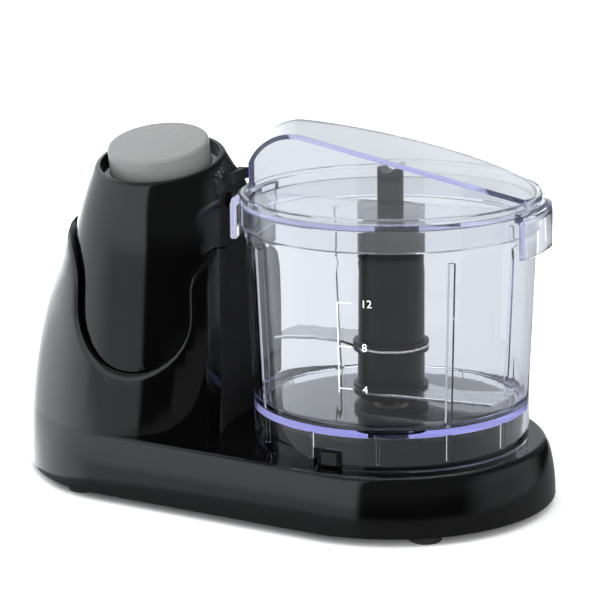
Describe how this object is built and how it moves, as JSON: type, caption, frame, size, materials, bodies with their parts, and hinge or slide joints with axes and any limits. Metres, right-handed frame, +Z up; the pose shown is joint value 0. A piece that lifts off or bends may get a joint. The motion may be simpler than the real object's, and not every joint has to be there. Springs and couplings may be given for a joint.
{
  "type": "mini food chopper",
  "caption": "Small electric food chopper: egg-shaped motor tower with a push button and a clear lidded bowl beside it on one black base, with belt-driven blades",
  "frame": {"origin": "on the table under the middle of the base's length and width", "axes": "+X from the motor tower to the bowl, -Y is the front that the button leans to, +Z up"},
  "size_m": [0.2074, 0.12, 0.1339],
  "materials": {
    "black_gloss": "glossy black moulding",
    "black_matte": "fine texture",
    "black_rubber": "matt",
    "silver_grey": "satin silver-grey",
    "clear_plastic": "clear with a bluish edge",
    "charcoal": "satin charcoal",
    "blade_steel": "ground",
    "plated_steel": "zinc plated",
    "spring_steel": "drawn",
    "ferrite": "sintered",
    "copper": "enamelled copper",
    "bronze": "sintered bronze",
    "white_nylon": "moulded nylon",
    "board": "coated board"
  },
  "bodies": {
    "base": {"base_housing": "black_gloss", "tower_dome": "black_gloss", "bottom_plate": "black_matte", "rubber_feet": "black_rubber", "bottom_screws": "plated_steel", "cord_gland": "black_rubber", "motor_bracket": "plated_steel", "bracket_screws": "plated_steel", "motor_can": "plated_steel", "motor_magnets": "ferrite", "motor_end_cap": "black_matte", "motor_bushes": "bronze", "drive_belt": "black_rubber", "spindle_bush": "bronze", "circuit_board": "board", "button_spring": "spring_steel", "button_carrier": "black_matte", "push_switch": "black_matte", "interlock_spring": "spring_steel", "interlock_switch": "black_matte"},
    "rotor": {"motor_shaft": "spring_steel", "motor_armature": "plated_steel", "motor_windings": "copper", "motor_commutator": "copper", "motor_fan": "white_nylon", "motor_pulley": "white_nylon"},
    "spindle": {"drive_spindle": "spring_steel", "bowl_pulley": "white_nylon"},
    "button": {"button_cap": "silver_grey"},
    "interlock": {"interlock_plunger": "charcoal"},
    "bowl": {"bowl": "clear_plastic"},
    "blades": {"blade_hub": "charcoal", "lower_blade": "blade_steel", "upper_blade": "blade_steel"},
    "lid": {"lid": "clear_plastic"}
  },
  "joints": [
    {"name": "motor_spin", "type": "hinge", "parent": "base", "child": "rotor", "pos_m": [-0.04326, 0, 0.05], "axis": [0, 0, 1], "continuous": true},
    {"name": "spindle_spin", "type": "hinge", "parent": "base", "child": "spindle", "pos_m": [0.04374, 0, 0.04], "axis": [0, 0, 1], "continuous": true},
    {"name": "button_press", "type": "slide", "parent": "base", "child": "button", "axis": [0, 0.2419, -0.9703], "range_m": [0, 0.004], "stiffness_N_per_m": 800, "deforming": ["button_spring"]},
    {"name": "interlock_press", "type": "slide", "parent": "base", "child": "interlock", "axis": [-1, 0, 0], "range_m": [0, 0.0025], "stiffness_N_per_m": 400, "deforming": ["interlock_spring"]},
    {"name": "bowl_lift", "type": "slide", "parent": "base", "child": "bowl", "axis": [0, 0, 1], "range_m": [0, 0.09]},
    {"name": "lid_lift", "type": "slide", "parent": "bowl", "child": "lid", "axis": [0, 0, 1], "range_m": [0, 0.06]},
    {"name": "blade_spin", "type": "hinge", "parent": "bowl", "child": "blades", "pos_m": [0.04374, 0, 0.06], "axis": [0, 0, 1], "continuous": true}
  ],
  "couplings": [
    {"joint": "spindle_spin", "follows": "motor_spin", "ratio": 0.25},
    {"joint": "blade_spin", "follows": "motor_spin", "ratio": 0.25}
  ]
}
